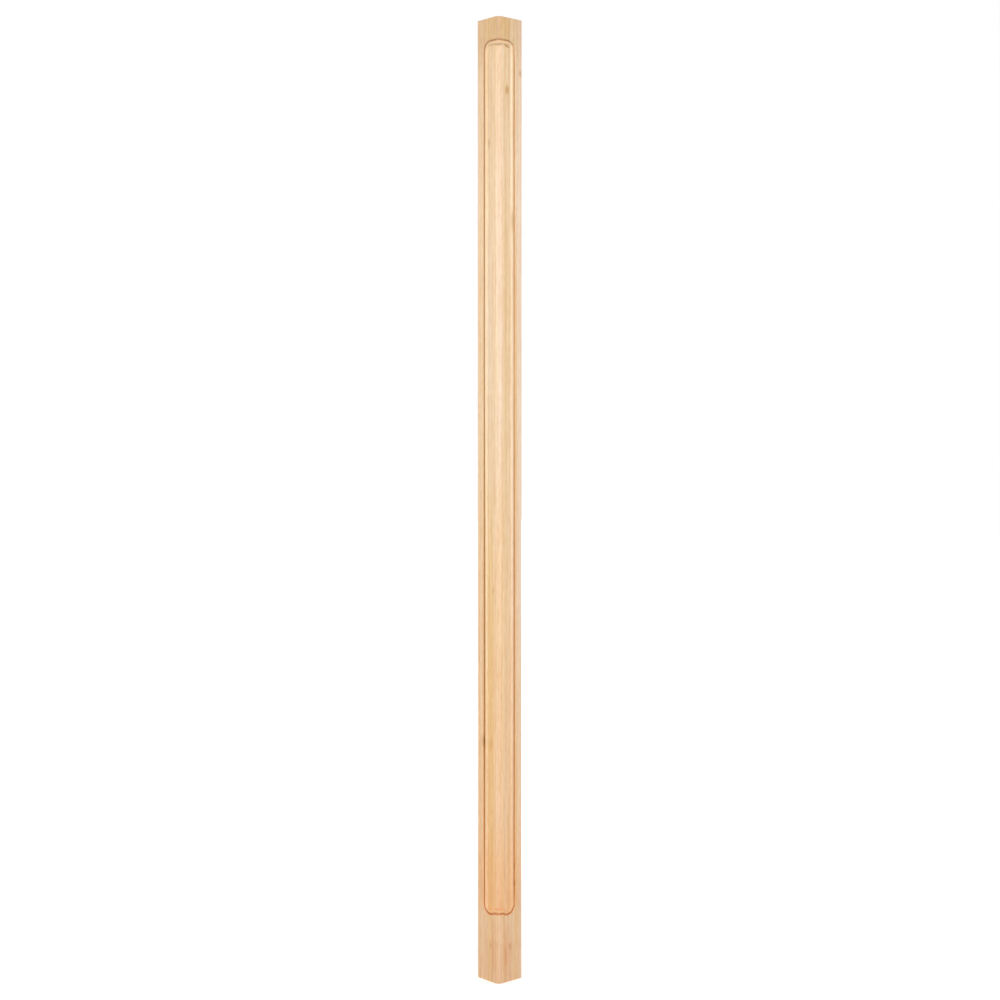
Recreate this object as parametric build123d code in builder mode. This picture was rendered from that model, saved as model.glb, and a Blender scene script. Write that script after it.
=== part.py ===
from build123d import *
import os
from math import asin, cos, degrees, sqrt

# Carved corner post, one stick of solid hardwood that stands on its end.
# Sizes are in millimetres. The foot lies on Z = 0 and the post is centred on the Z axis.
# The arris between the two show faces points to -X -Y. A stopped carving runs along it: a quirk
# and bead goes up each show face, turns its corners and wraps over the arris at both ends, and
# frames a sunk field whose own arris is rounded. The runs across the lower stop sag a little from
# the arris to their corner turns. The two back faces are plain.

# Stick
post_width = 28.575
post_height = 876.3
arris_radius = 4.76
edge_break = 0.5

# Plain wood left round the carving
top_block = 20.0
bottom_block = 63.0
side_strip = 7.8

# Quirk and bead
quirk_width = 0.9
quirk_edge_ease = 0.35
bead_radius = 1.9
bead_drop = 0.15

# Sunk field
field_depth = 1.4
field_arris_radius = 7.0
field_corner_radius = 4.5

# Sag of the lower stop, as the radius to which the quirk's outer wall bends down from the arris
sag_radius = 5.0

# How far the cutting solids stand outside the faces
cut_clearance = 2.0

# Across the border, measured inwards from the quirk's outer wall
bead_centre = quirk_width + bead_radius
spring_depth = bead_drop + bead_radius
bead_foot = bead_centre + sqrt(bead_radius**2 - (spring_depth - field_depth) ** 2)
turn_radius = quirk_width + 2 * bead_radius + field_corner_radius

# Places on the show face that looks to -X, where Y runs away from the arris
half_width = post_width / 2
arris_end = -half_width + arris_radius
quirk_y = half_width - side_strip
turn_y = quirk_y - turn_radius
field_arris_end = field_depth + field_arris_radius

# Heights of the two stops
lower_stop = bottom_block
upper_stop = post_height - top_block
upper_turn = upper_stop - turn_radius
sag_angle = asin((turn_y - arris_end) / (sag_radius + turn_radius))
lower_turn = lower_stop - sag_radius + (sag_radius + turn_radius) * cos(sag_angle)


def border_waste(plane: Plane, reach: float) -> Sketch:
    """Section of the wood that the border and the field beside it lose.

    Args:
        plane: Lies on the quirk's outer wall at face level, with X inwards and Y out of the face.
        reach: How far in the section goes, from the quirk's outer wall.

    Returns:
        The section, from outside the face down to the quirk, the bead and the field.
    """
    with BuildSketch(plane) as waste:
        with BuildLine():
            Polyline(
                (reach, -field_depth),
                (reach, cut_clearance),
                (-quirk_edge_ease - cut_clearance, cut_clearance),
                (0, -quirk_edge_ease),
                (0, -spring_depth),
                (quirk_width, -spring_depth),
            )
            ThreePointArc(
                (quirk_width, -spring_depth),
                (bead_centre, -bead_drop),
                (bead_foot, -field_depth),
            )
            Line((bead_foot, -field_depth), (reach, -field_depth))
        make_face()
    return waste.sketch


# Planes across the border, each on the line of the quirk's outer wall
upright_plane = Plane((-half_width, quirk_y, upper_turn), x_dir=(0, -1, 0), z_dir=(0, 0, -1))
upper_plane = Plane((-half_width, arris_end, upper_stop), x_dir=(0, 0, -1), z_dir=(0, 1, 0))
lower_turn_plane = Plane((-half_width, quirk_y, lower_turn), x_dir=(0, -1, 0), z_dir=(0, 0, -1))
lower_plane = Plane((-half_width, arris_end, lower_stop), x_dir=(0, 0, 1), z_dir=(0, -1, 0))

# Wood that the carving takes away
with BuildPart() as carving:
    # Border and field up the show face that looks to -X, between the corner turns
    extrude(
        border_waste(upright_plane, post_width - side_strip - field_arris_end),
        amount=upper_turn - lower_turn,
    )
    # Corner turns, about axes square to the face
    revolve(
        border_waste(upright_plane, turn_radius),
        axis=Axis((-half_width, turn_y, upper_turn), (1, 0, 0)),
        revolution_arc=90,
    )
    revolve(
        border_waste(lower_turn_plane, turn_radius),
        axis=Axis((-half_width, turn_y, lower_turn), (-1, 0, 0)),
        revolution_arc=90 + degrees(sag_angle),
    )
    # Runs between the turns and the round of the arris, level above and sagging below
    extrude(border_waste(upper_plane, turn_radius), amount=turn_y - arris_end)
    revolve(
        border_waste(lower_plane, turn_radius),
        axis=Axis((-half_width, arris_end, lower_stop - sag_radius), (-1, 0, 0)),
        revolution_arc=degrees(sag_angle),
    )

    # The same on the show face that looks to -Y
    mirror(about=Plane(origin=(0, 0, 0), z_dir=(1, -1, 0)))

    # Level runs round the arris, at both stops
    for stop_plane in (upper_plane, lower_plane):
        revolve(
            border_waste(stop_plane, turn_radius),
            axis=Axis((arris_end, arris_end, 0), (0, 0, 1)),
            revolution_arc=90,
        )

    # Rounded arris of the field, from bead to bead
    with BuildSketch(Plane((-half_width, -half_width, lower_stop + bead_foot))) as field_arris:
        with BuildLine():
            Polyline(
                (field_depth, field_arris_end),
                (-cut_clearance, field_arris_end),
                (-cut_clearance, -cut_clearance),
                (field_arris_end, -cut_clearance),
                (field_arris_end, field_depth),
            )
            RadiusArc(
                (field_arris_end, field_depth),
                (field_depth, field_arris_end),
                field_arris_radius,
            )
        make_face()
    extrude(amount=upper_stop - lower_stop - 2 * bead_foot)

# The post
with BuildPart() as corner_post:
    Box(post_width, post_width, post_height, align=(Align.CENTER, Align.CENTER, Align.MIN))
    long_edges = corner_post.edges().filter_by(Axis.Z)
    long_edges = long_edges.sort_by(lambda edge: edge.center().X + edge.center().Y)
    fillet(long_edges[0], radius=arris_radius)
    fillet(long_edges[1:], radius=edge_break)
    add(carving.part, mode=Mode.SUBTRACT)

corner_post.part.label = "corner_post"

os.makedirs("parts", exist_ok=True)
export_step(corner_post.part, "parts/corner_post.step")
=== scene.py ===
"""Carved corner post of pale hardwood, dressed for a studio picture.

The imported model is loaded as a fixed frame. The post is modelled again over its node with even, fine
faces, so that the quirk, the bead and the rounds are smooth close up, and it is given the look of
sanded, unfinished hardwood. Its lengths are written in millimetres and turned to metres by MM.
"""

from __future__ import annotations

import logging
import math
from collections.abc import Callable
from dataclasses import dataclass
from enum import Enum

import bmesh
import bpy
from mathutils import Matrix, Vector


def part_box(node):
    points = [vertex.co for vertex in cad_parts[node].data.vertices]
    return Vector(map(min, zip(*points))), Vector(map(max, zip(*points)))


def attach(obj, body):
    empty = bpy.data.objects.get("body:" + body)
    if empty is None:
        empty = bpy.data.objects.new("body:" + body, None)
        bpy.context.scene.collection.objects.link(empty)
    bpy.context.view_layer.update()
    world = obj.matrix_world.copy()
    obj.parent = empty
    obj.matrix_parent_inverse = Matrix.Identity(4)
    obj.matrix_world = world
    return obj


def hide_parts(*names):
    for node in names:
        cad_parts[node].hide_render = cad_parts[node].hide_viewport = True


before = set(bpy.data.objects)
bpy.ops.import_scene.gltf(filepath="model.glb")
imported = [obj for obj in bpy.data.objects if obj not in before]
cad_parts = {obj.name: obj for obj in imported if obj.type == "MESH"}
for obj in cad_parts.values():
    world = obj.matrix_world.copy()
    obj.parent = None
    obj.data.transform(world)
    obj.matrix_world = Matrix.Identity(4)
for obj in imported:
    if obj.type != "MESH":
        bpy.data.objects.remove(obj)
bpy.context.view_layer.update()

LOG = logging.getLogger("corner_post")

MM = 0.001
NODE = "corner_post"
BODY = "root"

SHADE_LAYER = "quirk_shade"
CUT_LAYER = "carved"

# Degrees round a corner of the stick, and from a face to the plane through the carved arris
CORNER = 90
HALF_CORNER = 45

# The sRGB curve: a straight line near black, and a power above it
SRGB_KNEE = 0.04045
SRGB_SLOPE = 12.92
SRGB_OFFSET = 0.055
SRGB_POWER = 2.4

WHITE = "ffffff"


def linear(hex_colour: str) -> tuple[float, float, float, float]:
    """Turns an sRGB hex colour into Blender's linear colour.

    Args:
        hex_colour: Six hex digits, such as "e8c9a0".

    Returns:
        Red, green, blue and an alpha of 1.
    """
    channels = []
    for start in (0, 2, 4):
        value = int(hex_colour[start : start + 2], 16) / 255
        if value <= SRGB_KNEE:
            channels.append(value / SRGB_SLOPE)
        else:
            channels.append(((value + SRGB_OFFSET) / (1 + SRGB_OFFSET)) ** SRGB_POWER)
    return (channels[0], channels[1], channels[2], 1.0)


@dataclass
class Stick:
    """The square stick before it is carved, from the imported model's box."""

    half: float
    height: float
    arris_radius: float = 4.76 * MM
    edge_break: float = 0.5 * MM

    @classmethod
    def from_frame(cls) -> Stick:
        """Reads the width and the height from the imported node.

        Returns:
            The stick at its real size.
        """
        low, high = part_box(NODE)
        return cls(half=(high.x - low.x) / 2, height=high.z - low.z)


@dataclass
class Carving:
    """The stopped quirk and bead, and the sunk field inside it."""

    top_block: float = 20.0 * MM
    bottom_block: float = 63.0 * MM
    side_strip: float = 7.8 * MM
    quirk_width: float = 0.9 * MM
    quirk_edge_ease: float = 0.35 * MM
    bead_radius: float = 1.9 * MM
    bead_drop: float = 0.15 * MM
    field_depth: float = 1.4 * MM
    field_arris_radius: float = 7.0 * MM
    field_corner_radius: float = 4.5 * MM
    sag_radius: float = 5.0 * MM

    @property
    def bead_centre(self) -> float:
        """Distance of the bead's axis inside the quirk's outer wall."""
        return self.quirk_width + self.bead_radius

    @property
    def spring_depth(self) -> float:
        """Depth at which the bead's half round springs from the quirk."""
        return self.bead_drop + self.bead_radius

    @property
    def bead_foot(self) -> float:
        """Distance inside the quirk's outer wall at which the bead meets the field."""
        rise = self.spring_depth - self.field_depth
        return self.bead_centre + math.sqrt(self.bead_radius**2 - rise**2)

    @property
    def turn_radius(self) -> float:
        """Radius of the quirk's outer wall where it turns a corner on the face."""
        return self.quirk_width + 2 * self.bead_radius + self.field_corner_radius


class EditedMesh:
    """A mesh that is shaped in edit mode, with what is selected chosen by place."""

    # Two places closer than this are one
    NEAR = 0.002 * MM

    def __init__(self, obj: bpy.types.Object) -> None:
        """Opens the object for editing.

        Args:
            obj: The object to shape. Its place is already in its mesh.
        """
        self.obj = obj
        bpy.context.view_layer.objects.active = obj
        bpy.ops.object.mode_set(mode="EDIT")
        bpy.ops.mesh.select_mode(type="VERT")

    def close(self) -> bpy.types.Object:
        """Leaves edit mode.

        Returns:
            The shaped object.
        """
        bpy.ops.object.mode_set(mode="OBJECT")
        return self.obj

    def select(self, wanted: Callable[[Vector], bool]) -> None:
        """Selects the vertices whose place passes a test, and nothing else.

        Args:
            wanted: Says of a place whether its vertex is selected.
        """
        mesh = bmesh.from_edit_mesh(self.obj.data)
        for vertex in mesh.verts:
            vertex.select = wanted(vertex.co)
        mesh.select_flush_mode()
        bmesh.update_edit_mesh(self.obj.data)

    def near(self, value: float, target: float) -> bool:
        """Says whether two lengths are the same."""
        return abs(value - target) < self.NEAR

    def extrude(self, move: tuple[float, float, float]) -> None:
        """Extrudes what is selected along a straight line."""
        bpy.ops.mesh.extrude_region_move(TRANSFORM_OT_translate={"value": move})

    def turn(
        self,
        degrees: float,
        steps: int,
        center: tuple[float, float, float],
        axis: tuple[float, float, float] = (0, 0, 1),
    ) -> None:
        """Spins what is selected, by the right-hand rule about the axis.

        Args:
            degrees: Angle, whose sign is changed because spin turns the other way with no window.
            steps: Number of faces round the turn.
            center: A point on the axis.
            axis: Direction of the axis.
        """
        bpy.ops.mesh.spin(steps=steps, angle=-math.radians(degrees), center=center, axis=axis)

    def cut_above_x(self, limit: float) -> None:
        """Cuts what is selected at an upright plane, and drops what lies beyond it in X."""
        bpy.ops.mesh.bisect(
            plane_co=(limit, 0, 0),
            plane_no=(1, 0, 0),
            clear_outer=True,
            threshold=self.NEAR,
        )

    def bring_to_z(self, height: float) -> None:
        """Brings what is selected to one height."""
        bpy.ops.transform.resize(value=(1, 1, 0), center_override=(0, 0, height))

    def bring_to_y(self, line: float) -> None:
        """Brings what is selected to one place in Y."""
        bpy.ops.transform.resize(value=(1, 0, 1), center_override=(0, line, 0))

    def fill(self) -> None:
        """Closes the loop that is selected with one flat face."""
        bpy.ops.mesh.edge_face_add()

    def merge(self) -> None:
        """Joins the vertices that lie at the same place."""
        bpy.ops.mesh.select_all(action="SELECT")
        bpy.ops.mesh.remove_doubles(threshold=self.NEAR)


@dataclass
class CornerPost:
    """The post's own surface, dragged along the carving the way a cutter goes.

    One half is shaped, from the middle of the carved arris over the left show face to the corner
    behind it, and then mirrored across the plane through those two.
    """

    stick: Stick
    carving: Carving
    wood: Hardwood
    bead_segments: int = 40
    arris_steps: int = 8
    turn_steps: int = 16
    field_steps: int = 10
    sag_steps: int = 6
    break_steps: int = 4
    upright_steps: int = 72
    # Faces that meet at less than this, in degrees, are shaded as one round
    smooth_angle: float = 30.0

    @property
    def arris_end(self) -> float:
        """Y at which the left show face ends and the round of the arris starts."""
        return -self.stick.half + self.stick.arris_radius

    @property
    def quirk_y(self) -> float:
        """Y of the quirk's outer wall on the left show face."""
        return self.stick.half - self.carving.side_strip

    @property
    def turn_y(self) -> float:
        """Y of the axes of the corner turns."""
        return self.quirk_y - self.carving.turn_radius

    @property
    def field_round_y(self) -> float:
        """Y at which the field's flat ends and its rounded arris starts."""
        return -self.stick.half + self.carving.field_depth + self.carving.field_arris_radius

    @property
    def upper_stop(self) -> float:
        """Height of the quirk's outer wall at the upper stop."""
        return self.stick.height - self.carving.top_block

    @property
    def lower_stop(self) -> float:
        """Height of the quirk's outer wall at the lower stop, on the arris."""
        return self.carving.bottom_block

    @property
    def upper_turn(self) -> float:
        """Height of the axes of the upper corner turns."""
        return self.upper_stop - self.carving.turn_radius

    @property
    def sag_angle(self) -> float:
        """Angle, in degrees, by which the lower stop's run turns down from the arris."""
        reach = self.carving.sag_radius + self.carving.turn_radius
        return math.degrees(math.asin((self.turn_y - self.arris_end) / reach))

    @property
    def lower_turn(self) -> float:
        """Height of the axes of the lower corner turns."""
        reach = self.carving.sag_radius + self.carving.turn_radius
        return self.lower_stop - self.carving.sag_radius + reach * math.cos(math.radians(self.sag_angle))

    def build(self) -> bpy.types.Object:
        """Shapes and dresses the whole post.

        Returns:
            The finished object, at the origin and with its place in its mesh.
        """
        shape = self.border_section()
        self.border_over_arris(shape, self.upper_stop)
        self.border_down_face(shape)
        self.border_over_arris(shape, self.lower_stop)
        self.sunk_field(shape)
        self.plain_faces(shape)
        shape.merge()
        post = shape.close()
        self.mirror_half(post)
        self.close_ends(post)
        self.smooth(post)
        post.name = NODE + "_surface"
        self.dress(post)
        return post

    def border_section(self) -> EditedMesh:
        """Shapes the section of the quirk and bead, at the upper stop where the arris starts.

        Returns:
            The open mesh, which holds the section's line and nothing else.
        """
        cut = self.carving
        face_x = -self.stick.half
        axis_x = face_x + cut.spring_depth
        axis_z = self.upper_stop - cut.bead_centre
        bpy.ops.object.select_all(action="DESELECT")
        bpy.ops.mesh.primitive_circle_add(
            vertices=self.bead_segments,
            radius=cut.bead_radius,
            location=(axis_x, self.arris_end, axis_z),
            rotation=(math.radians(CORNER), 0, 0),
        )
        bpy.ops.object.transform_apply(location=True, rotation=True, scale=True)
        section = bpy.context.object
        for name in (SHADE_LAYER, CUT_LAYER):
            section.data.attributes.new(name, "FLOAT", "POINT")
        shape = EditedMesh(section)

        # The bead is the half of the circle that stands out, cut off where the field meets it
        shape.select(lambda place: True)
        shape.cut_above_x(axis_x)
        shape.select(lambda place: place.z < axis_z + EditedMesh.NEAR)
        shape.cut_above_x(face_x + cut.field_depth)
        shape.select(lambda place: place.z < axis_z and shape.near(place.x, face_x + cut.field_depth))
        shape.bring_to_z(self.upper_stop - cut.bead_foot)
        # The quirk's floor, its outer wall and the eased edge at the face
        shape.select(lambda place: shape.near(place.z, axis_z + cut.bead_radius))
        shape.extrude((0, 0, cut.quirk_width))
        shape.extrude((cut.quirk_edge_ease - cut.spring_depth, 0, 0))
        shape.extrude((-cut.quirk_edge_ease, 0, cut.quirk_edge_ease))
        self.mark_section(shape)
        return shape

    def mark_section(self, shape: EditedMesh) -> None:
        """Marks how deep in the quirk each point of the section lies, and what the cutter made.

        Args:
            shape: The open mesh, which holds the section's line.
        """
        cut = self.carving
        mesh = bmesh.from_edit_mesh(shape.obj.data)
        shade = mesh.verts.layers.float[SHADE_LAYER]
        carved = mesh.verts.layers.float[CUT_LAYER]
        for vertex in mesh.verts:
            inward = self.upper_stop - vertex.co.z
            depth = vertex.co.x + self.stick.half
            in_quirk = inward < cut.bead_centre
            vertex[shade] = min(1.0, depth / cut.spring_depth) if in_quirk else 0.0
            vertex[carved] = 1.0 if depth > EditedMesh.NEAR else 0.0
        bmesh.update_edit_mesh(shape.obj.data)

    def border_over_arris(self, shape: EditedMesh, stop: float) -> None:
        """Turns the section from the left show face to the middle of the arris.

        Args:
            shape: The open mesh.
            stop: Height of the stop that is turned.
        """
        span = self.carving.bead_foot + 2 * self.carving.quirk_edge_ease
        shape.select(
            lambda place: shape.near(place.y, self.arris_end) and abs(place.z - stop) < span
        )
        shape.bring_to_y(self.arris_end)
        shape.turn(HALF_CORNER, self.arris_steps, (self.arris_end, self.arris_end, 0))

    def border_down_face(self, shape: EditedMesh) -> None:
        """Drags the section along the upper stop, down the upright and back along the lower stop.

        Args:
            shape: The open mesh, with the section where the arris starts.
        """
        cut = self.carving
        foot = self.upper_stop - cut.bead_foot
        shape.select(lambda place: shape.near(place.y, self.arris_end))
        shape.extrude((0, self.field_round_y - self.arris_end, 0))

        # From here the section also carries a margin of the field, as far as the turns' axes
        shape.select(
            lambda place: shape.near(place.y, self.field_round_y) and shape.near(place.z, foot)
        )
        shape.extrude((0, 0, cut.bead_foot - cut.turn_radius))
        shape.select(lambda place: shape.near(place.y, self.field_round_y))
        shape.extrude((0, self.turn_y - self.field_round_y, 0))

        shape.turn(-CORNER, self.turn_steps, (0, self.turn_y, self.upper_turn), (1, 0, 0))
        shape.merge()
        shape.select(
            lambda place: shape.near(place.z, self.upper_turn)
            and place.y > self.turn_y - EditedMesh.NEAR
        )
        for _ in range(self.upright_steps):
            shape.extrude((0, 0, (self.lower_turn - self.upper_turn) / self.upright_steps))
        shape.turn(
            -CORNER - self.sag_angle, self.turn_steps, (0, self.turn_y, self.lower_turn), (1, 0, 0)
        )
        shape.merge()

        # The sagging run carries no margin of the field
        lean = math.radians(self.sag_angle)
        low_end = Vector((0, self.turn_y, self.lower_turn))
        inward = Vector((0, math.sin(lean), math.cos(lean)))

        def at_low_end(place: Vector) -> bool:
            """Says whether a place is on the section where the lower turn ends.

            Args:
                place: The place.

            Returns:
                True on the section, outside the turn's axis.
            """
            from_axis = Vector((0, place.y, place.z)) - low_end
            across = from_axis.y * inward.z - from_axis.z * inward.y
            outward = -from_axis.dot(inward)
            return shape.near(across, 0) and outward > EditedMesh.NEAR

        shape.select(at_low_end)
        shape.turn(
            self.sag_angle,
            self.sag_steps,
            (0, self.arris_end, self.lower_stop - cut.sag_radius),
            (1, 0, 0),
        )
        shape.merge()

    def sunk_field(self, shape: EditedMesh) -> None:
        """Fills the field inside the border, with its rounded arris and the walls at its ends.

        Args:
            shape: The open mesh, with the whole border.
        """
        cut = self.carving
        upper_foot = self.upper_stop - cut.bead_foot
        lower_foot = self.lower_stop + cut.bead_foot
        floor_x = -self.stick.half + cut.field_depth
        axis = (self.field_round_y, self.field_round_y, 0)

        def on_floor(place: Vector, line: float) -> bool:
            """Says whether a place is on an upright line of the field's floor."""
            within = lower_foot - EditedMesh.NEAR < place.z < upper_foot + EditedMesh.NEAR
            return within and shape.near(place.x, floor_x) and shape.near(place.y, line)

        shape.select(
            lambda place: on_floor(place, self.turn_y)
            and self.lower_turn - EditedMesh.NEAR < place.z < upper_foot - EditedMesh.NEAR
        )
        shape.extrude((0, self.field_round_y - self.turn_y, 0))
        shape.merge()

        # The floor under the sagging run is one flat face down to the bead's foot
        shape.select(
            lambda place: on_floor(place, self.field_round_y) and shape.near(place.z, self.lower_turn)
        )
        shape.extrude((0, 0, lower_foot - self.lower_turn))
        shape.select(
            lambda place: on_floor(place, self.field_round_y) and shape.near(place.z, lower_foot)
            or on_floor(place, self.arris_end) and shape.near(place.z, lower_foot)
        )
        shape.fill()
        shape.select(self.under_sag)
        shape.fill()
        shape.select(lambda place: on_floor(place, self.field_round_y))
        shape.turn(HALF_CORNER, self.field_steps, axis)
        shape.merge()
        # Each wall is open at the mirror plane, so an edge closes its outline before its face
        for foot in (upper_foot, lower_foot):
            open_ends = self.select_wall(shape, foot)
            shape.select(
                lambda place: any((place - end).length < EditedMesh.NEAR for end in open_ends)
            )
            shape.fill()
            self.select_wall(shape, foot)
            shape.fill()

    def under_sag(self, place: Vector) -> bool:
        """Says whether a place is on the outline of the field's floor under the sagging run.

        Args:
            place: The place.

        Returns:
            True on the outline.
        """
        cut = self.carving
        near = EditedMesh.NEAR
        if abs(place.x + self.stick.half - cut.field_depth) > near:
            return False
        if place.z > self.lower_turn + near or not self.arris_end - near < place.y < self.turn_y + near:
            return False
        on_turn_axis = abs(place.y - self.turn_y) < near and abs(place.z - self.lower_turn) < near
        from_sag = math.hypot(place.y - self.arris_end, place.z - self.lower_stop + cut.sag_radius)
        on_foot = abs(from_sag - cut.sag_radius - cut.bead_foot) < near
        on_round = abs(place.y - self.field_round_y) < near
        return on_turn_axis or on_foot or on_round

    def select_wall(self, shape: EditedMesh, foot: float) -> list[Vector]:
        """Selects the outline of the level wall between the bead's foot and the field's round.

        Args:
            shape: The open mesh.
            foot: Height of the wall.

        Returns:
            The two places on the mirror plane at which the outline is open.
        """
        shape.select(
            lambda place: shape.near(place.z, foot)
            and place.y < self.field_round_y + EditedMesh.NEAR
            and place.x < self.field_round_y + EditedMesh.NEAR
        )
        mesh = bmesh.from_edit_mesh(shape.obj.data)
        return [
            vertex.co.copy()
            for vertex in mesh.verts
            if vertex.select and shape.near(vertex.co.x, vertex.co.y)
        ]

    def plain_faces(self, shape: EditedMesh) -> None:
        """Adds the strip beside the carving, the end blocks and the back.

        Args:
            shape: The open mesh, with the border and the field.
        """
        cut = self.carving
        half = self.stick.half
        side_y = half - self.stick.edge_break
        rim_y = self.quirk_y + cut.quirk_edge_ease
        upper_turn = self.upper_turn
        lower_turn = self.lower_turn

        def on_face(place: Vector) -> bool:
            """Says whether a place is on the left show face."""
            return shape.near(place.x, -half)

        shape.select(
            lambda place: on_face(place)
            and shape.near(place.y, rim_y)
            and lower_turn - EditedMesh.NEAR < place.z < upper_turn + EditedMesh.NEAR
        )
        shape.extrude((0, side_y - rim_y, 0))

        shape.select(lambda place: on_face(place) and place.z > upper_turn - EditedMesh.NEAR)
        shape.extrude((0, 0, cut.top_block))
        shape.bring_to_z(self.stick.height)
        shape.select(lambda place: on_face(place) and place.z < lower_turn + EditedMesh.NEAR)
        shape.extrude((0, 0, -cut.bottom_block))
        shape.bring_to_z(0)

        # Rounds of the blocks' arris
        for low, high in ((self.upper_stop, self.stick.height), (0, self.lower_stop)):
            shape.select(
                lambda place: on_face(place)
                and shape.near(place.y, self.arris_end)
                and low - EditedMesh.NEAR < place.z < high + EditedMesh.NEAR
            )
            shape.turn(HALF_CORNER, self.arris_steps, (self.arris_end, self.arris_end, 0))

        # Broken edge, back face and half of the broken edge behind the carved arris
        shape.select(lambda place: on_face(place) and shape.near(place.y, side_y))
        shape.turn(-CORNER, self.break_steps, (-side_y, side_y, 0))
        shape.extrude((2 * side_y, 0, 0))
        shape.turn(-HALF_CORNER, self.break_steps // 2, (side_y, side_y, 0))

    def mirror_half(self, post: bpy.types.Object) -> None:
        """Mirrors the half across the upright plane through the carved arris.

        Args:
            post: The half that is shaped.
        """
        bpy.ops.object.select_all(action="DESELECT")
        bpy.ops.object.empty_add(rotation=(0, 0, math.radians(-HALF_CORNER)))
        plane = bpy.context.object
        bpy.context.view_layer.objects.active = post
        mirror = post.modifiers.new("mirror", "MIRROR")
        mirror.mirror_object = plane
        mirror.use_axis = (True, False, False)
        mirror.merge_threshold = EditedMesh.NEAR
        bpy.ops.object.modifier_apply(modifier=mirror.name)
        bpy.data.objects.remove(plane)

    def close_ends(self, post: bpy.types.Object) -> None:
        """Closes the sawn ends and turns every face outwards.

        Args:
            post: The mirrored post, open at both ends.
        """
        shape = EditedMesh(post)
        shape.merge()
        for height in (0, self.stick.height):
            shape.select(lambda place: shape.near(place.z, height))
            shape.fill()
        bpy.ops.mesh.select_all(action="SELECT")
        bpy.ops.mesh.normals_make_consistent(inside=False)
        shape.close()

    def smooth(self, post: bpy.types.Object) -> None:
        """Shades the rounds smooth and keeps the flats flat.

        Args:
            post: The closed post.
        """
        bpy.ops.object.select_all(action="DESELECT")
        post.select_set(True)
        bpy.context.view_layer.objects.active = post
        bpy.ops.object.shade_smooth_by_angle(angle=math.radians(self.smooth_angle))
        weighted = post.modifiers.new("flats", "WEIGHTED_NORMAL")
        weighted.keep_sharp = True
        bpy.ops.object.modifier_apply(modifier=weighted.name)

    def dress(self, post: bpy.types.Object) -> None:
        """Gives the post its wood and its place in the part.

        Args:
            post: The shaped post.
        """
        post.data.materials.append(self.wood.material())
        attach(post, BODY)
        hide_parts(NODE)


# Numbers of a Mix node's sockets for colour, whose names it has more than once
MIX_UNDER, MIX_OVER, MIX_RESULT = 6, 7, 2


def add_node(
    tree: bpy.types.NodeTree,
    kind: str,
    inputs: dict[str | int, object] | None = None,
    **settings: object,
) -> bpy.types.Node:
    """Adds a node with its settings and links.

    Args:
        tree: The material's or world's node tree.
        kind: Blender's name for the node's type.
        inputs: Sockets by name or number, each with a value or with the socket it is linked to.
        settings: The node's own properties.

    Returns:
        The node.
    """
    node = tree.nodes.new(kind)
    for name, value in settings.items():
        setattr(node, name, value)
    for key, value in (inputs or {}).items():
        if isinstance(value, bpy.types.NodeSocket):
            tree.links.new(value, node.inputs[key])
        else:
            node.inputs[key].default_value = value
    return node


class Blend(Enum):
    """The two ways in which a tone is laid over another."""

    OVER = "MIX"
    DEEPEN = "MULTIPLY"


@dataclass(frozen=True)
class Tone:
    """A tone that comes in as a value goes from one figure, at which it is none, to full."""

    colour: str
    none: float
    full: float
    strength: float = 1.0
    blend: Blend = Blend.DEEPEN


@dataclass(frozen=True)
class Streaks:
    """Size across and along the grain, in millimetres, of a noise, and its octaves."""

    width: float
    length: float
    octaves: float


@dataclass(frozen=True)
class Mark:
    """A knot, stain, fleck or band in the wood, or painted shade or highlight, as an upright oval that
    fades to its edge.

    Its place is in the board's own directions: across the growth layers, along them away from the
    carved arris, and up the post. Lengths are in millimetres. The core is the share of the oval
    that has the full tone, and ragged is how far the pores pull its edge about, as a share too.
    """

    across: float
    along: float
    height: float
    width: float
    depth: float
    tall: float
    colour: str
    strength: float = 1.0
    blend: Blend = Blend.DEEPEN
    core: float = 0.15
    ragged: float = 1.3


# Deeper in the wood than any face, for what goes right through the stick
THROUGH = 60.0

# Broad growth bands: straw and tan up the field and tan down the foot block, with grey painted shade on
# the head's arris that takes out its highlight.
# The ones laid over are paler or pinker: a painted highlight on the right bead and the field beside it,
# then the right strip, left bead and middle of the field
BANDS_AND_PAINTED_LIGHT = (
    Mark(-7.3, 0.0, 250.0, 3.6, THROUGH, 450.0, "fffbe2"),
    Mark(6.3, 0.0, 640.0, 2.4, THROUGH, 240.0, "faf7f1"),
    Mark(-4.0, -14.0, 26.0, 5.6, 9.0, 42.0, "faeae0"),
    Mark(7.6, -14.0, 26.0, 5.6, 9.0, 42.0, "faeae0"),
    Mark(2.4, 0.0, 330.0, 3.9, THROUGH, 240.0, "fffdee", core=0.4),
    Mark(-11.6, -8.6, 22.0, 2.6, 6.0, 46.0, "f9eee8"),
    Mark(10.9, -9.3, 22.0, 2.6, 6.0, 46.0, "fbf2ea"),
    # Painted shade on the head block's rounded arris, which takes out its highlight
    Mark(-0.6, -18.0, 868.0, 3.6, 8.0, 22.0, "eeece6"),
    # Painted highlight along the right bead and the field beside it
    Mark(10.9, -9.0, 775.0, 2.0, 6.0, 150.0, "fff3e0", 0.3, Blend.OVER),
    Mark(18.4, 0.0, 500.0, 5.0, THROUGH, 720.0, "f7e3d6", 0.33, Blend.OVER),
    Mark(-12.0, 0.0, 420.0, 1.9, THROUGH, 560.0, "fdeed0", 0.5, Blend.OVER),
    Mark(0.0, -13.0, 545.0, 5.5, 8.0, 140.0, "fbefdf", 0.22, Blend.OVER),
)

# Brown that spreads from the quirk: on to the left bead low down, and on to the right strip
SPREAD = (
    Mark(-13.0, -7.2, 310.0, 1.1, 3.5, 230.0, "e6d8b4", core=0.5, ragged=0.5),
    Mark(15.0, -5.4, 458.5, 0.9, 3.0, 398.5, "f5eadb", core=0.6),
)
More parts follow.
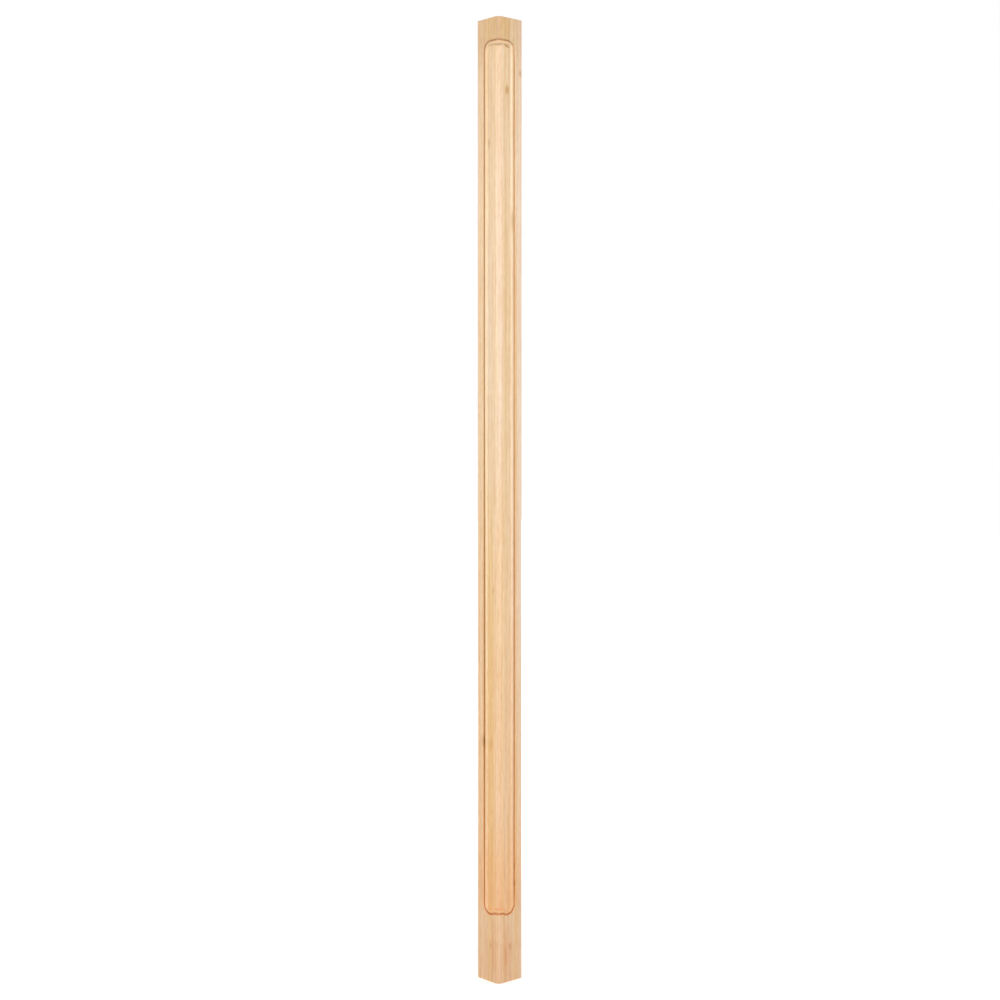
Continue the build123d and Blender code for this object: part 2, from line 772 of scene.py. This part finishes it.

# Pin knot, stains, brown flecks and short dark flecks along the bead's foot at the head of the field
MARKS = (
    Mark(7.3, -10.9, 811.8, 2.6, 4.0, 5.5, "e6d3b2"),
    Mark(7.4, -10.9, 811.0, 3.0, 4.0, 13.0, "f5f0e2"),
    Mark(12.2, -7.8, 694.0, 1.9, 3.0, 14.0, "e6dccb"),
    Mark(-13.6, -4.5, 219.0, 3.6, 4.0, 9.5, "e9dcc4"),
    Mark(-13.7, -4.5, 220.0, 1.2, 3.0, 6.5, "e6d7c0"),
    Mark(-7.6, -10.8, 217.0, 3.2, 4.0, 9.5, "f9efe0"),
    Mark(-9.3, -8.9, 764.0, 1.8, 3.0, 6.5, "ebe2d2"),
    Mark(5.6, -12.6, 852.0, 1.2, 3.0, 0.9, "d9c6ae"),
    Mark(7.0, -11.3, 850.9, 1.7, 3.0, 1.15, "b08a66"),
    Mark(8.4, -9.9, 850.1, 1.5, 3.0, 1.0, "bc9878"),
    Mark(13.8, -4.5, 89.0, 1.5, 3.0, 4.5, "ebdfd0"),
    Mark(13.6, -4.5, 105.0, 1.3, 3.0, 5.0, "ebdfd0"),
    Mark(-4.9, -13.3, 359.0, 1.3, 3.0, 5.5, "ece2d2"),
    Mark(18.7, -1.5, 828.0, 2.2, 3.0, 5.0, "e4d2c0"),
    Mark(10.2, -10.0, 32.0, 1.5, 3.0, 4.5, "eddfd4"),
    Mark(-7.7, -12.5, 33.0, 1.4, 3.0, 4.0, "eddfd4"),
    Mark(6.6, -13.6, 24.0, 1.5, 3.0, 13.0, "f7e1d8"),
)

# Brown deep in the uprights of the quirk, partly burnish and partly painted shade of the narrow groove:
# over their whole length, low down, and on the left
QUIRK_BURNISH_AND_SHADE = (
    Mark(0.0, 0.0, 458.5, THROUGH, THROUGH, 398.5, "f7f0d6", core=0.97, ragged=0.0),
    Mark(0.0, 0.0, 230.0, THROUGH, THROUGH, 340.0, "f4e4be", ragged=0.0),
    # Painted shade on the left quirk, which the light reaches less than the right one
    Mark(-13.7, -4.5, 640.0, 5.0, 8.0, 700.0, "e1d0bb", ragged=0.0),
)


@dataclass(frozen=True)
class Hardwood:
    """Pale hardwood, planed, carved and sanded, and left without a finish.

    To the eye it is matt and warm, with low, straight figure: growth layers a few millimetres
    apart, finer fibres, and short pores. It is cream in the middle of the post and a warmer tan
    towards the foot, and the plain blocks are deeper than the wood that the cutter freshened.
    Lengths are in millimetres.
    """

    name: str = "sanded pale hardwood"
    # Growth layers, which curve gently about a pith outside the stick
    cream: Tone = Tone("f8e1c6", 0.38, 0.62, 1.0, Blend.OVER)
    straw: str = "f6d9ae"
    blush: Tone = Tone("f8d8bc", 0.35, 1.0, 0.7, Blend.OVER)
    pith: float = -110.0
    layer_width: float = 3.1
    layer_wander: float = 7.0
    wander_size: Streaks = Streaks(14.0, 240.0, 1.0)
    ground_size: Streaks = Streaks(4.5, 420.0, 2.0)
    late_wood: Tone = Tone("ecd6bd", 0.55, 0.98, 0.3)
    # Finer streaks
    fibre_size: Streaks = Streaks(0.8, 60.0, 4.0)
    fibres: Tone = Tone("efe2d0", 0.42, 0.66, 0.28)
    cloud_size: Streaks = Streaks(2.6, 30.0, 2.0)
    clouds: Tone = Tone("f5eadc", 0.36, 0.66, 0.45)
    flake_size: Streaks = Streaks(1.3, 8.0, 2.0)
    flakes: Tone = Tone("f2e6d6", 0.38, 0.66, 0.4)
    # A real pore is under 0.2 mm wide, and is drawn wider so that it shows
    pore_size: Streaks = Streaks(0.35, 5.0, 2.0)
    pores: Tone = Tone("e2c9a8", 0.6, 0.74, 0.3)
    # Change of tone up the post, by height
    warm: Tone = Tone("fff0df", 560.0, 90.0)
    low: Tone = Tone("fff4e8", 165.0, 72.0)
    upper: Tone = Tone("f8f6f2", 690.0, 830.0)
    head_block: Tone = Tone("f0e9dc", 815.0, 857.0)
    foot_block: Tone = Tone("f9fbff", 105.0, 76.0)
    # Plain wood takes the low tone only above the foot block, and comes into it between these
    foot_edge: tuple[float, float] = (61.0, 74.0)
    # Open fibre ends on what faces up in the carving, and shares of the quirk's depth at which its
    # brown, partly burnish and partly painted shade, starts and is full
    cross_cut: Tone = Tone("f6e8de", 0.25, 0.85)
    quirk_depth: tuple[float, float] = (0.1, 0.65)
    # Sawn ends, a little darker, on which the growth layers show as rings and the pores as dots
    sawn: Tone = Tone("f8efe4", 0.89, 0.9)
    rings: Tone = Tone("eddcc3", 0.25, 0.98)
    dot_size: Streaks = Streaks(0.45, 0.45, 2.0)
    dots: Tone = Tone("e6d0b0", 0.5, 0.72)
    # Matt surface, with the fibres and pores in low relief
    roughness: tuple[float, float] = (0.56, 0.7)
    pore_relief: float = 0.5
    relief: float = 0.06
    relief_strength: float = 0.25

    def material(self) -> bpy.types.Material:
        """Makes the material.

        Returns:
            The material, whose figure reads the object's own coordinates.
        """
        material = bpy.data.materials.new(self.name)
        material.use_nodes = True
        wood = WoodLayers(material.node_tree, self)
        wood.growth()
        wood.grain()
        wood.drift()
        for mark in BANDS_AND_PAINTED_LIGHT + SPREAD + MARKS:
            wood.mark(mark)
        wood.cut_faces()
        wood.finish(material.node_tree.nodes["Principled BSDF"])
        return material


class WoodLayers:
    """The wood's colour, as it is laid tone over tone in one node tree."""

    def __init__(self, tree: bpy.types.NodeTree, wood: Hardwood) -> None:
        """Lays the ground and finds the places that the tones go by.

        Args:
            tree: The material's node tree.
            wood: The wood's tones and sizes.
        """
        self.tree = tree
        self.wood = wood
        place = add_node(tree, "ShaderNodeTexCoord")
        # The board's directions lie at 45 degrees to the faces: the growth layers run from the
        # carved arris to the one behind it
        self.board = add_node(
            tree,
            "ShaderNodeMapping",
            {
                "Vector": place.outputs["Object"],
                "Rotation": (0, 0, math.radians(HALF_CORNER)),
                "Scale": (1 / MM, 1 / MM, 1 / MM),
            },
        ).outputs[0]
        self.height = add_node(tree, "ShaderNodeSeparateXYZ", {0: self.board}).outputs["Z"]
        self.upward = add_node(
            tree, "ShaderNodeSeparateXYZ", {0: place.outputs["Normal"]}
        ).outputs["Z"]
        self.carved = add_node(
            tree, "ShaderNodeAttribute", attribute_name=CUT_LAYER
        ).outputs["Fac"]
        self.plain = add_node(
            tree, "ShaderNodeMath", {0: 1.0, 1: self.carved}, operation="SUBTRACT"
        ).outputs[0]
        self.fibres = self.streaks(wood.fibre_size)
        self.pores = self.streaks(wood.pore_size)
        ground = add_node(tree, "ShaderNodeRGB").outputs[0]
        ground.default_value = linear(wood.straw)
        self.colour = ground

    def lay(
        self,
        value: bpy.types.NodeSocket,
        tone: Tone,
        only: bpy.types.NodeSocket | None = None,
    ) -> None:
        """Lays a tone over the wood as a value passes through the tone's range.

        Args:
            value: What the tone follows.
            tone: The tone.
            only: Where the tone may come, from 0 to 1, or None for everywhere.
        """
        factor = add_node(
            self.tree,
            "ShaderNodeMapRange",
            {"Value": value, "From Min": tone.none, "From Max": tone.full, "To Max": tone.strength},
            interpolation_type="SMOOTHSTEP",
        ).outputs[0]
        if only is not None:
            factor = add_node(
                self.tree, "ShaderNodeMath", {0: factor, 1: only}, operation="MULTIPLY"
            ).outputs[0]
        self.colour = add_node(
            self.tree,
            "ShaderNodeMix",
            {0: factor, MIX_UNDER: self.colour, MIX_OVER: linear(tone.colour)},
            data_type="RGBA",
            blend_type=tone.blend.value,
        ).outputs[MIX_RESULT]

    def streaks(self, size: Streaks) -> bpy.types.NodeSocket:
        """Makes a noise that is drawn out along the post.

        Args:
            size: Size of its streaks.

        Returns:
            A value from 0 to 1, about 0.5 on average.
        """
        drawn = add_node(
            self.tree,
            "ShaderNodeMapping",
            {"Vector": self.board, "Scale": (1 / size.width, 1 / size.width, 1 / size.length)},
        ).outputs[0]
        return add_node(
            self.tree,
            "ShaderNodeTexNoise",
            {"Vector": drawn, "Scale": 1.0, "Detail": size.octaves},
        ).outputs["Fac"]

    def growth(self) -> None:
        """Colours the growth layers, each with its own tint and a darker late side."""
        wood = self.wood
        from_pith = add_node(
            self.tree,
            "ShaderNodeMapping",
            {"Vector": self.board, "Location": (-wood.pith, 0, 0), "Scale": (1, 1, 0)},
        ).outputs[0]
        radius = add_node(
            self.tree, "ShaderNodeVectorMath", {0: from_pith}, operation="LENGTH"
        ).outputs["Value"]
        wandered = add_node(
            self.tree,
            "ShaderNodeMath",
            {0: self.streaks(wood.wander_size), 1: wood.layer_wander, 2: radius},
            operation="MULTIPLY_ADD",
        ).outputs[0]
        phase = add_node(
            self.tree, "ShaderNodeMath", {0: wandered, 1: wood.layer_width}, operation="DIVIDE"
        ).outputs[0]
        layer = add_node(self.tree, "ShaderNodeMath", {0: phase}, operation="FLOOR").outputs[0]
        self.within_layer = add_node(
            self.tree, "ShaderNodeMath", {0: phase}, operation="FRACT"
        ).outputs[0]
        tint = add_node(
            self.tree, "ShaderNodeTexWhiteNoise", {"W": layer}, noise_dimensions="1D"
        ).outputs["Value"]
        self.lay(self.streaks(wood.ground_size), wood.cream)
        self.lay(tint, wood.blush)
        self.lay(self.within_layer, wood.late_wood)

    def grain(self) -> None:
        """Lays the fibres, the clouds, the flakes and the pores over the growth layers."""
        wood = self.wood
        self.lay(self.fibres, wood.fibres)
        self.lay(self.streaks(wood.cloud_size), wood.clouds)
        self.lay(self.streaks(wood.flake_size), wood.flakes)
        self.lay(self.pores, wood.pores)

    def drift(self) -> None:
        """Warms the wood towards the foot and deepens the plain blocks at both ends."""
        wood = self.wood
        above_foot = add_node(
            self.tree,
            "ShaderNodeMapRange",
            {"Value": self.height, "From Min": wood.foot_edge[0], "From Max": wood.foot_edge[1]},
        ).outputs[0]
        beside_carving = add_node(
            self.tree, "ShaderNodeMath", {0: above_foot, 1: self.carved}, operation="MAXIMUM"
        ).outputs[0]
        self.lay(self.height, wood.warm)
        self.lay(self.height, wood.upper)
        self.lay(self.height, wood.low, beside_carving)
        self.lay(self.height, wood.head_block, self.plain)
        self.lay(self.height, wood.foot_block, self.plain)

    def mark(self, mark: Mark, only: bpy.types.NodeSocket | None = None) -> None:
        """Lays one knot, stain, fleck or band, or painted shade or highlight, over the wood.

        Args:
            mark: What is laid.
            only: Where the mark may show, from 0 to 1, or None for everywhere.
        """
        local = add_node(
            self.tree,
            "ShaderNodeMapping",
            {
                "Vector": self.board,
                "Location": (
                    -mark.across / mark.width,
                    -mark.along / mark.depth,
                    -mark.height / mark.tall,
                ),
                "Scale": (1 / mark.width, 1 / mark.depth, 1 / mark.tall),
            },
        ).outputs[0]
        away = add_node(
            self.tree, "ShaderNodeVectorMath", {0: local}, operation="LENGTH"
        ).outputs["Value"]
        edge = add_node(
            self.tree,
            "ShaderNodeMath",
            {0: self.pores, 1: mark.ragged, 2: away},
            operation="MULTIPLY_ADD",
        ).outputs[0]
        # The pores' noise is 0.5 on average, which moves the whole range
        none = 1.0 + mark.ragged / 2
        full = mark.core + mark.ragged / 2
        self.lay(edge, Tone(mark.colour, none, full, mark.strength, mark.blend), only)

    def cut_faces(self) -> None:
        """Darkens open fibre ends, browns the quirk by its depth with burnish and painted shade, and
        saws the ends.
        """
        wood = self.wood
        self.lay(self.upward, wood.cross_cut, self.carved)
        depth = add_node(
            self.tree, "ShaderNodeAttribute", attribute_name=SHADE_LAYER
        ).outputs["Fac"]
        deep = add_node(
            self.tree,
            "ShaderNodeMapRange",
            {"Value": depth, "From Min": wood.quirk_depth[0], "From Max": wood.quirk_depth[1]},
            interpolation_type="SMOOTHSTEP",
        ).outputs[0]
        # Brown deep in the quirk: partly burnish, partly painted shade
        for mark in QUIRK_BURNISH_AND_SHADE:
            self.mark(mark, deep)
        level = add_node(
            self.tree, "ShaderNodeMath", {0: self.upward}, operation="ABSOLUTE"
        ).outputs[0]
        end = add_node(
            self.tree, "ShaderNodeMath", {0: level, 1: self.plain}, operation="MULTIPLY"
        ).outputs[0]
        self.lay(end, wood.sawn)
        self.lay(self.within_layer, wood.rings, end)
        self.lay(self.streaks(wood.dot_size), wood.dots, end)

    def finish(self, shader: bpy.types.Node) -> None:
        """Links the colour and sets the matt sanded surface.

        Args:
            shader: The principled shader.
        """
        wood = self.wood
        self.tree.links.new(self.colour, shader.inputs["Base Color"])
        rough = add_node(
            self.tree,
            "ShaderNodeMapRange",
            {"Value": self.fibres, "To Min": wood.roughness[0], "To Max": wood.roughness[1]},
        ).outputs[0]
        self.tree.links.new(rough, shader.inputs["Roughness"])
        relief = add_node(
            self.tree,
            "ShaderNodeMath",
            {0: self.pores, 1: wood.pore_relief, 2: self.fibres},
            operation="MULTIPLY_ADD",
        ).outputs[0]
        bump = add_node(
            self.tree,
            "ShaderNodeBump",
            {"Height": relief, "Strength": wood.relief_strength, "Distance": wood.relief * MM},
        ).outputs[0]
        self.tree.links.new(bump, shader.inputs["Normal"])


def seen_directly(tree: bpy.types.NodeTree) -> bpy.types.NodeSocket:
    """Finds the rays that show the background: straight, mirrored and through glass.

    Args:
        tree: The floor's or the world's node tree.

    Returns:
        1 for such a ray and 0 for one that lights the post.
    """
    path = add_node(tree, "ShaderNodeLightPath").outputs
    glossy = add_node(
        tree,
        "ShaderNodeMath",
        {0: path["Is Camera Ray"], 1: path["Is Glossy Ray"]},
        operation="MAXIMUM",
    ).outputs[0]
    return add_node(
        tree,
        "ShaderNodeMath",
        {0: glossy, 1: path["Is Transmission Ray"]},
        operation="MAXIMUM",
    ).outputs[0]


@dataclass(frozen=True)
class Lamp:
    """A square soft lamp, placed by how far it stands in front of the post, beside it and up.

    Lengths are in metres.
    """

    name: str
    ahead: float
    beside: float
    up: float
    size: float
    watts: float


# A large lamp in front and above, and two fills behind
LAMPS = (
    Lamp("front", 1.9, 0.1, 1.75, 1.6, 30.8),
    Lamp("back_left", -1.6, 1.8, 1.2, 1.4, 14.4),
    Lamp("back_right", -1.6, -1.8, 1.2, 1.4, 14.4),
)


@dataclass(frozen=True)
class PaintedBoard:
    """Smooth board rolled with matt white paint.

    To the eye it is an even white without sheen, and takes the post's soft shadow. Further off it
    shines out to plain white where it is seen, so that it has no horizon. Lengths are in metres.
    """

    name: str = "rolled matt white paint"
    colour: str = "e4e4e4"
    roughness: float = 0.9
    shadow_reach: tuple[float, float] = (0.15, 0.9)
    shadow_glow: float = 0.35

    def material(self) -> bpy.types.Material:
        """Makes the material.

        Returns:
            The material, whose glow grows with the distance from the post.
        """
        material = bpy.data.materials.new(self.name)
        material.use_nodes = True
        tree = material.node_tree
        shader = tree.nodes["Principled BSDF"]
        shader.inputs["Base Color"].default_value = linear(self.colour)
        shader.inputs["Roughness"].default_value = self.roughness
        shader.inputs["Emission Color"].default_value = linear(WHITE)
        place = add_node(tree, "ShaderNodeTexCoord").outputs["Object"]
        away = add_node(
            tree, "ShaderNodeVectorMath", {0: place}, operation="LENGTH"
        ).outputs["Value"]
        glow = add_node(
            tree,
            "ShaderNodeMapRange",
            {
                "Value": away,
                "From Min": self.shadow_reach[0],
                "From Max": self.shadow_reach[1],
                "To Min": self.shadow_glow,
            },
            interpolation_type="SMOOTHSTEP",
        ).outputs[0]
        lift = add_node(
            tree, "ShaderNodeMath", {0: seen_directly(tree), 1: glow}, operation="MULTIPLY"
        ).outputs[0]
        tree.links.new(lift, shader.inputs["Emission Strength"])
        return material


@dataclass(frozen=True)
class Studio:
    """Pale floor, soft frontal light and the camera."""

    stick: Stick
    # Sensor and lens in millimetres. The camera stands 41.5 degrees round from square to the right
    # show face, and looks down by its pitch
    sensor: float = 36.0
    focal: float = 60.48
    distance: float = 1537.0 * MM
    turned: float = 41.5
    pitch: float = 1.5
    shift: tuple[float, float] = (0.00035, -0.0235)
    eye_height: float = 502.4 * MM
    clip: tuple[float, float] = (0.01, 100.0)
    floor_size: float = 12.0
    floor_paint: PaintedBoard = PaintedBoard()
    # Strength of the even light from all round
    fill: float = 0.525

    def build(self) -> None:
        """Sets the camera, the lamps, the floor and the world."""
        self.camera()
        for lamp in LAMPS:
            self.lamp(lamp)
        self.floor()
        self.world()

    @property
    def heading(self) -> Vector:
        """Level direction from the post towards the camera."""
        turn = math.radians(self.turned)
        return Vector((-math.sin(turn), -math.cos(turn), 0))

    def camera(self) -> None:
        """Puts the camera nearly corner-on, at the photograph's distance and height."""
        data = bpy.data.cameras.new("camera")
        data.sensor_width = self.sensor
        data.lens = self.focal
        data.shift_x, data.shift_y = self.shift
        data.clip_start, data.clip_end = self.clip
        camera = bpy.data.objects.new("camera", data)
        bpy.context.scene.collection.objects.link(camera)
        camera.location = self.heading * self.distance + Vector((0, 0, self.eye_height))
        aim = -self.heading * math.cos(math.radians(self.pitch))
        aim.z = -math.sin(math.radians(self.pitch))
        camera.rotation_mode = "QUATERNION"
        camera.rotation_quaternion = aim.to_track_quat("-Z", "Y")
        bpy.context.scene.camera = camera

    def lamp(self, lamp: Lamp) -> None:
        """Adds one lamp, which looks at the middle of the post.

        Args:
            lamp: The lamp.
        """
        data = bpy.data.lights.new(lamp.name, "AREA")
        data.shape = "SQUARE"
        data.size = lamp.size
        data.energy = lamp.watts
        light = bpy.data.objects.new(lamp.name, data)
        bpy.context.scene.collection.objects.link(light)
        side = Vector((self.heading.y, -self.heading.x, 0))
        light.location = self.heading * lamp.ahead + side * lamp.beside + Vector((0, 0, lamp.up))
        aim = Vector((0, 0, self.stick.height / 2)) - light.location
        light.rotation_mode = "QUATERNION"
        light.rotation_quaternion = aim.to_track_quat("-Z", "Y")
        light.visible_camera = False

    def floor(self) -> None:
        """Lays the pale floor, which keeps the post's shadow."""
        bpy.ops.object.select_all(action="DESELECT")
        bpy.ops.mesh.primitive_plane_add(size=self.floor_size, location=(0, 0, 0))
        floor = bpy.context.object
        floor.name = "floor"
        floor.data.materials.append(self.floor_paint.material())

    def world(self) -> None:
        """Makes the world a plain fill, and white where it is seen."""
        world = bpy.data.worlds.new("studio")
        bpy.context.scene.world = world
        world.use_nodes = True
        tree = world.node_tree
        strength = add_node(
            tree, "ShaderNodeMapRange", {"Value": seen_directly(tree), "To Min": self.fill}
        ).outputs[0]
        background = tree.nodes["Background"]
        background.inputs["Color"].default_value = linear(WHITE)
        tree.links.new(strength, background.inputs["Strength"])


def main() -> None:
    """Builds the post and the studio."""
    logging.basicConfig(level=logging.INFO, format="%(name)s: %(message)s")
    bpy.context.scene.view_settings.view_transform = "Standard"
    stick = Stick.from_frame()
    post = CornerPost(stick, Carving(), Hardwood()).build()
    LOG.info("%s has %d faces", post.name, len(post.data.polygons))
    Studio(stick).build()
    LOG.info("studio has %d lamps", len(LAMPS))


if __name__ == "__main__":
    main()
